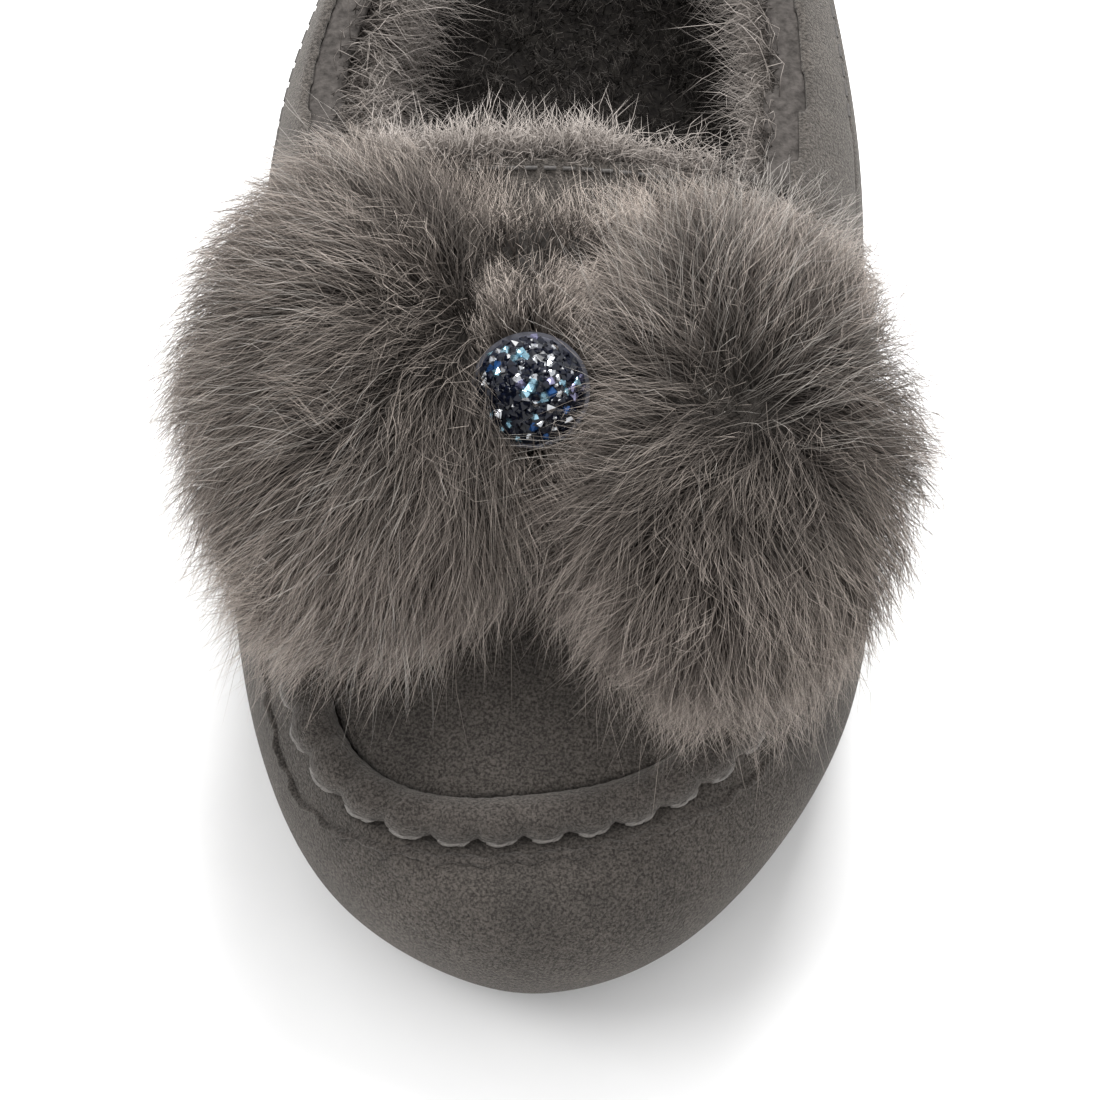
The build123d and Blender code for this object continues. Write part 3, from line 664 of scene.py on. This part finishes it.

# The footbed's pile is left out under the vamp, where it can't be seen. The footbed's base and pile are
# painted dark, as painted shade deep in the slipper.
spots, facing = scatter(footbed, 26000)
keep = (facing[:, 2] > 0.8) & (spots[:, 1] > -50.0)
curly_pile("footbed_pile_hair", spots[keep][:FOOTBED_HAIRS], facing[keep][:FOOTBED_HAIRS], 5.5, 0.35, 0.0,
           pile_hair_painted_shade)

spots, facing = scatter(vamp_pile, 60000)
keep = (spots[:, 1] > -24.0) & (facing[:, 2] < 0.6) & (spots[:, 2] > 20.0)
curly_pile("vamp_pile_hair", spots[keep][:VAMP_HAIRS], facing[keep][:VAMP_HAIRS], 6.0, 0.35, 0.05)

# The tuft that stands out behind the throat's edge, thickest at the inner side.
THROAT_Y = -13.0
THROAT_TOP = 66.0
lip_x = np.concatenate([rng.uniform(-27.0, 10.0, 2700), rng.uniform(10.0, 27.0, 450)])
lip_y = -12.0 + rng.uniform(-0.4, 0.6, len(lip_x))
apron_tree = tree_of("apron", "vamp_lining")
edge_z = np.array([surface_height(apron_tree, x, THROAT_Y) or THROAT_TOP for x in lip_x])
tuft_roots = np.column_stack([lip_x, lip_y, edge_z - rng.uniform(0.8, 3.2, len(lip_x))])
tuft_ways = np.column_stack([0.25 * rng.normal(size=len(lip_x)), np.full(len(lip_x), 1.0),
                             rng.uniform(-0.1, 0.75, len(lip_x))])
curly_pile("throat_pile_hair", tuft_roots, unit(tuft_ways), 8.5, 0.25, 0.35)

# ---- Fur bow --------------------------------------------------------------------------------------------
backing_tree = tree_of("bow_backing", "apron", "toe_wrap")
suede_tree = tree_of("toe_wrap", "apron", "apron_roll", "collar_band", "quarter_medial", "quarter_lateral")
BROOCH_AT = np.array([-3.0, -56.0, 71.4])
BROOCH_UP = np.array([0.0, -0.348, 0.938])
BROOCH_SHOWN = (4.7, 7.2)  # the half width and half height that hair keeps off
LEFT = np.array([-28.5, -51.5, 66.0])
RIGHT = np.array([28.5, -60.5, 64.0])
LOBE_RADII = np.array([29.5, 44.5, 22.0])
LOBE_CORE = np.array([19.5, 34.0, 13.5])
LOBE_MEET = np.array([1.45, 1.0, 1.0])  # how far past its outline a lobe may run towards the other
LOBE_HAIRS = 22000
LOBE_PIECES = 3  # a lobe's hair is kept as this many pieces
TUFT = 7.0  # hair leans alike over patches of this size
FUR_REACH = 59.0  # beyond this to either side only thin strays are left
STRAY_REACH = 7.0
LEFT_WHORL = np.array([-5.0, -44.0, 80.0])
RIGHT_WHORL = np.array([33.0, -62.0, 84.0])
RIGHT_GUARD_WHORL = np.array([22.0, -64.0, 74.0])
KNOT = np.array([-3.0, -53.0, 65.0])
KNOT_CORE = np.array([7.5, 13.5, 6.0])
KNOT_HAIRS = 5200
KNOT_RADIUS = 0.085
BACK_HAIRS = 3000
BACK_RADIUS = 0.08


def ellipsoid(name, middle, radii, material, lumps):
    """A lumpy dark core under the hair."""
    rows, columns = 24, 36
    ways = [(0.0, 0.0, 1.0)]
    for i in range(1, rows):
        up = math.pi * i / rows
        for k in range(columns):
            around = 2 * math.pi * k / columns
            ways.append((math.sin(up) * math.cos(around), math.sin(up) * math.sin(around), math.cos(up)))
    ways.append((0.0, 0.0, -1.0))
    ways = np.array(ways)
    swell = 1.0 + lumps * np.sin(5 * ways[:, 0] + 3 * ways[:, 1]) * np.cos(4 * ways[:, 1] - 3 * ways[:, 2])
    bottom = len(ways) - 1
    faces = []
    for k in range(columns):
        nxt = (k + 1) % columns
        faces.append((0, 1 + k, 1 + nxt))
        faces.append((bottom, bottom - columns + nxt, bottom - columns + k))
        for i in range(rows - 2):
            a, b = 1 + i * columns + k, 1 + i * columns + nxt
            faces.append((a, a + columns, b + columns, b))
    piece = make_piece(name, middle + ways * radii * swell[:, None], faces, material)
    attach(piece, "root")
    return piece


def lift_off(curves, clearance=0.5):
    """Keeps hair above the suede: points that would sink in are laid on it, the tip highest."""
    for hair in curves:
        for i in range(1, len(hair)):
            ground = surface_height(suede_tree, hair[i, 0], hair[i, 1])
            if ground is not None and hair[i, 2] < ground + clearance + 0.25 * i:
                hair[i, 2] = ground + clearance + 0.25 * i
    return curves


def over_brooch(curves):
    """Tells which hairs pass in front of the brooch."""
    from_it = curves - BROOCH_AT
    across = from_it[..., 0] / BROOCH_SHOWN[0]
    down = (from_it @ np.cross(BROOCH_UP, [1.0, 0.0, 0.0])) / BROOCH_SHOWN[1]
    return ((across**2 + down**2 < 1.0) & (from_it @ BROOCH_UP > -3.0)).any(axis=1)


def gather(curves, middle, radii, slack):
    """Draws hair that reaches past a lobe's outline back towards it; the lobes may run into each other."""
    from_it = curves - middle
    inward = from_it[..., :1] * middle[0] < 0
    radii = np.where(inward, radii * LOBE_MEET, radii)
    far = np.linalg.norm(from_it / radii, axis=-1, keepdims=True)
    held = np.minimum(far, 1.0) + slack * np.maximum(far - 1.0, 0.0)
    curves = middle + from_it * held / np.maximum(far, 1e-6)
    over = np.maximum(np.abs(curves[..., 0]) - FUR_REACH, 0.0)
    curves[..., 0] -= np.sign(curves[..., 0]) * (over - STRAY_REACH * np.tanh(over / STRAY_REACH))
    return curves


def lobe_roots(middle, radii, count):
    """Roots over an ellipsoid and its outward normals, those above the upper only."""
    ways = unit(rng.normal(size=(count * 3, 3)))
    roots = middle + ways * radii
    normals = unit(ways / radii)
    ground = np.array([surface_height(suede_tree, x, y) or -50.0 for x, y in roots[:, :2]])
    above = roots[:, 2] > ground + 1.0
    return roots[above][:count], normals[above][:count]


def fur_lobe(side, middle, whorl, spread, weight, mess, length):
    """One lobe of fur: hair runs away from a whorl over the core and stands off it by weight."""
    roots, normals = lobe_roots(middle, LOBE_CORE, LOBE_HAIRS)
    away = roots - whorl
    away -= (away * normals).sum(axis=1, keepdims=True) * normals
    flow = unit(away)
    swirl = np.cross(normals, flow)
    cells = np.floor(roots / TUFT)
    seeds = np.sin(cells @ np.array([12.9898, 78.233, 37.719])) * 43758.5453  # a fixed scramble of each cell
    twist = (seeds - np.floor(seeds) - 0.5)[:, None] * 2.0
    ways = unit(flow * spread + normals * weight + swirl * twist * mess)
    droop = np.array([0.0, 0.0, -0.42])
    bends = flow * 0.25 + droop + 0.10 * rng.normal(size=roots.shape)
    lengths = length * rng.uniform(0.62, 1.15, len(roots)) * (1.0 + 0.22 * twist[:, 0])
    curves = grow(roots, ways, bends, lengths, clump=0.78, clump_size=30, curl=1.8, stray=0.32)
    curves = gather(curves, middle, LOBE_RADII, rng.uniform(0.2, 0.85, (len(curves), 1, 1)))
    kept = ~over_brooch(curves) | (rng.random(len(curves)) < 0.07)
    curves = lift_off(curves[kept])
    tones = np.clip(0.5 + 0.22 * twist[kept, 0] + 0.16 * rng.normal(size=len(curves)), 0, 1)
    for part in range(LOBE_PIECES):
        share = slice(part, None, LOBE_PIECES)
        thickness = rng.uniform(0.045, 0.078, len(curves[share]))
        hair_mesh(f"bow_{side}_hair_{part + 1}", curves[share], thickness, tones[share], fur_hair)


def guard_lobe(name, middle, count, whorl, length, lean, region):
    """Sparse long pale guard hairs over the part of a lobe that region picks, leaning one way."""
    roots, normals = lobe_roots(middle, LOBE_CORE, count * 6)
    chosen = region(roots)
    roots, normals = roots[chosen][:count], normals[chosen][:count]
    away = unit(roots - whorl)
    ways = unit(away * 0.6 + normals * 0.5 + lean)
    bends = np.array([0.0, 0.0, -0.2]) + 0.06 * rng.normal(size=roots.shape)
    lengths = length * rng.uniform(0.75, 1.2, len(roots))
    curves = grow(roots, ways, bends, lengths, clump=0.3, clump_size=10, curl=0.8, stray=0.22)
    curves = gather(curves, middle, LOBE_RADII, rng.uniform(0.3, 0.75, (len(curves), 1, 1)))
    kept = ~over_brooch(curves)
    curves = lift_off(curves[kept])
    hair_mesh(name, curves, rng.uniform(0.04, 0.06, len(curves)), rng.random(len(curves)), guard_hair)


left_core = ellipsoid("bow_left_pelt", LEFT, LOBE_CORE, pelt, 0.06)
right_core = ellipsoid("bow_right_pelt", RIGHT, LOBE_CORE, pelt, 0.06)
knot_core = ellipsoid("bow_knot_pelt", KNOT, KNOT_CORE, pelt, 0.05)
for core, node in ((left_core, "bow_left_fur"), (right_core, "bow_right_fur"), (knot_core, "bow_knot")):
    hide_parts(node)

for side, near in (("left", LEFT), ("right", RIGHT)):
    strip = soft_copy(f"bow_{side}_strip_cloth", f"bow_{side}_strip", 0.6, 2, knit)
    points = get_points(strip)
    set_points(strip, near + (points - points.mean(axis=0)) * np.array([0.7, 0.62, 0.55]))

fur_lobe("left", LEFT, LEFT_WHORL, spread=1.0, weight=0.55, mess=0.35, length=22.0)
fur_lobe("right", RIGHT, RIGHT_WHORL, spread=0.75, weight=0.75, mess=0.60, length=20.0)
guard_lobe("bow_left_guard", LEFT, 900, LEFT_WHORL, 29.0, (0.0, 0.0, 0.0),
           lambda roots: roots[:, 0] < -20.0)
guard_lobe("bow_right_guard", RIGHT, 1300, RIGHT_GUARD_WHORL, 28.0, (0.15, 0.2, 0.0),
           lambda roots: roots[:, 1] > -70.0)

# The knot's short hair parts to both sides and along the bow.
ways = unit(rng.normal(size=(KNOT_HAIRS, 3)))
ways[:, 2] = np.abs(ways[:, 2])
knot_roots = KNOT + ways * KNOT_CORE
sides = np.where(knot_roots[:, 0] < -3.0, -1.0, 1.0)
lay = unit(np.column_stack([0.55 * sides, 0.9 * np.sign(knot_roots[:, 1] + 56.0), 0.55 + 0 * sides])
           + 0.35 * ways)
bends = np.array([0.0, 0.0, -0.35]) + 0.12 * rng.normal(size=knot_roots.shape)
lengths = rng.uniform(9.0, 16.0, KNOT_HAIRS)
curves = grow(knot_roots, lay, bends, lengths, clump=0.6, clump_size=22, curl=0.7, stray=0.25)
kept = ~over_brooch(curves) | (rng.random(len(curves)) < 0.05)
curves = lift_off(curves[kept])
tones = tones_about(0.5, 0.2, len(curves))
hair_mesh("bow_knot_hair", curves, np.full(len(curves), KNOT_RADIUS), tones, fur_hair)

# Short hair behind the knot covers the felt patch as far as the throat.
back_x, back_y = rng.uniform(-24.0, 18.0, BACK_HAIRS), rng.uniform(-47.0, -24.5, BACK_HAIRS)
back_z = np.array([surface_height(backing_tree, x, y) or 60.0 for x, y in zip(back_x, back_y)])
back_roots = np.column_stack([back_x, back_y, back_z - 0.5])
back_ways = np.column_stack([0.3 * np.sign(back_x + 3.0), np.full(BACK_HAIRS, 0.8), np.full(BACK_HAIRS, 0.7)])
back_ways = unit(back_ways + 0.25 * rng.normal(size=back_roots.shape))
bends = np.array([0.0, 0.1, -0.5]) + 0.15 * rng.normal(size=back_roots.shape)
lengths = rng.uniform(8.0, 14.0, BACK_HAIRS)
curves = grow(back_roots, back_ways, bends, lengths, clump=0.6, clump_size=22, curl=0.9, stray=0.3)
curves = lift_off(curves[~over_brooch(curves)])
tones = tones_about(0.5, 0.2, len(curves))
hair_mesh("bow_back_hair", curves, np.full(len(curves), BACK_RADIUS), tones, fur_hair)

# ---- Brooch ---------------------------------------------------------------------------------------------
DOME = 8.0  # the radius that the stones cover
STONES = 150
FACETS = 6  # sides of a stone
STONE_RINGS = ((0.5, -0.9), (1.0, 0.0), (0.42, 0.62))  # radius and height of its foot, girdle and shoulder
GOLDEN_ANGLE = 2.399963  # sets the stones out evenly over the dome
crystal_shares = {"navy": 0.58, "blue": 0.09, "aqua": 0.13, "silver": 0.15, "lavender": 0.05}
crystal_looks = {
    "navy": plain("crystal_navy", (0.001, 0.0015, 0.004), (0.004, 0.006, 0.016), 900, 0.06, 0.0, 0.0),
    "blue": plain("crystal_blue", (0.008, 0.03, 0.11), (0.02, 0.09, 0.26), 900, 0.08, 0.0, 0.5),
    "aqua": plain("crystal_aqua", (0.12, 0.24, 0.32), (0.36, 0.56, 0.66), 900, 0.07, 0.0, 0.8),
    "silver": plain("crystal_silver", (0.34, 0.36, 0.40), (0.85, 0.87, 0.90), 900, 0.05, 0.0, 1.0),
    "lavender": plain("crystal_lavender", (0.10, 0.10, 0.18), (0.26, 0.25, 0.38), 900, 0.08, 0.0, 0.7),
}
across_1 = np.array([1.0, 0.0, 0.0])
across_2 = np.cross(BROOCH_UP, across_1)
heaps = {name: ([], []) for name in crystal_looks}
for i in range(STONES):
    share = (i + 0.5) / STONES
    out = DOME * math.sqrt(share) * 1.02
    angle = i * GOLDEN_ANGLE
    spot = across_1 * math.cos(angle) + across_2 * math.sin(angle)
    height = 2.0 + 5.4 * (1 - share) ** 0.8
    lean = unit(BROOCH_UP * (1.1 - 0.7 * share) + spot * share * 0.9 + 0.42 * rng.normal(size=3))
    one = unit(np.cross(lean, [0.3, 0.9, 0.2]))
    two = np.cross(lean, one)
    base = BROOCH_AT + spot * out + BROOCH_UP * height
    name = rng.choice(list(crystal_shares), p=list(crystal_shares.values()))
    points, faces = heaps[name]
    start, size = len(points), rng.uniform(0.75, 1.15)
    turned = rng.uniform(0, 2 * math.pi)
    for radius, rise in STONE_RINGS:
        for k in range(FACETS):
            theta = turned + 2 * math.pi * k / FACETS
            corner = radius * (math.cos(theta) * one + math.sin(theta) * two) + rise * lean
            points.append(base + size * corner)
    points.append(base + size * 0.95 * lean)
    tip = start + 3 * FACETS
    for ring in range(3):
        for k in range(FACETS):
            a, b = start + ring * FACETS + k, start + ring * FACETS + (k + 1) % FACETS
            faces.append((a, b, b + FACETS, a + FACETS) if ring < 2 else (a, b, tip))
    faces.append(tuple(start + k for k in reversed(range(FACETS))))
for name, (points, faces) in heaps.items():
    heap = make_piece(f"brooch_crystals_{name}", points, faces, crystal_looks[name], smooth=False)
    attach(heap, "root")
    if name == "navy":
        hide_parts("brooch_crystals")

# ---- Floor and light ------------------------------------------------------------------------------------
floor_paint = plain("floor_paint", (0.86, 0.86, 0.86), (0.90, 0.90, 0.90), 20, 0.42, 0.0)
FLOOR_REACH = 2600.0
floor_corners = [(x * FLOOR_REACH, y * FLOOR_REACH, 0) for x, y in ((-1, -1), (1, -1), (1, 1), (-1, 1))]
floor = make_piece("floor", floor_corners, [(0, 1, 2, 3)], floor_paint, smooth=False)

world = bpy.data.worlds.new("studio")
world.use_nodes = True
background = world.node_tree.nodes["Background"]
background.inputs["Color"].default_value = (1.0, 1.0, 1.0, 1.0)
background.inputs["Strength"].default_value = 0.92
bpy.context.scene.world = world


LIT_AT = Vector((0.0, -0.05, 0.05))  # metres, in the slipper's middle


def softbox(name, at, size, power):
    """A large soft lamp aimed at the slipper, placed and sized in metres."""
    lamp = bpy.data.lights.new(name, "AREA")
    lamp.energy = power
    lamp.size = size
    holder = bpy.data.objects.new(name, lamp)
    bpy.context.scene.collection.objects.link(holder)
    holder.location = Vector(at)
    holder.rotation_euler = (LIT_AT - holder.location).to_track_quat("-Z", "Y").to_euler()


softbox("back", (0.15, 0.85, 1.0), 0.7, 30)
softbox("left", (-0.9, -0.1, 1.0), 0.6, 7)
softbox("right", (0.9, -0.4, 0.9), 0.9, 2)
